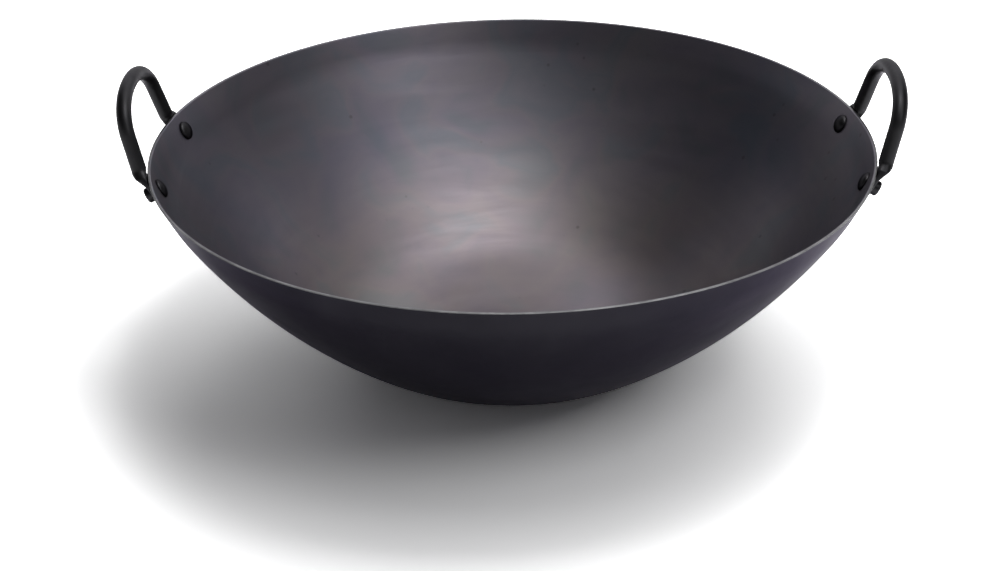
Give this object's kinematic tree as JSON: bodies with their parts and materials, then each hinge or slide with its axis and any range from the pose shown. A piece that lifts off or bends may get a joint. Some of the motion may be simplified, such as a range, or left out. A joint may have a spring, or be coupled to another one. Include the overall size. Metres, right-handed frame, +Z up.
{
  "type": "wok",
  "caption": "Round-walled wok of dark sheet steel with a small flat base and upright rod loop handles riveted on opposite sides below the rim.",
  "frame": {"origin": "middle of the flat base, on the surface that the wok stands on", "axes": "+X towards the right handle, +Y away from the viewer, +Z up along the bowl's axis"},
  "size_m": [0.4262, 0.4, 0.175],
  "materials": {
    "bowl_steel": "dark oiled, satin",
    "handle_steel": "dark oiled, satin",
    "rivet_steel": "dark, satin"
  },
  "bodies": {
    "root": {"bowl": "bowl_steel", "handle_left": "handle_steel", "handle_right": "handle_steel", "rivet_left_front": "rivet_steel", "rivet_left_rear": "rivet_steel", "rivet_right_front": "rivet_steel", "rivet_right_rear": "rivet_steel"}
  },
  "joints": []
}
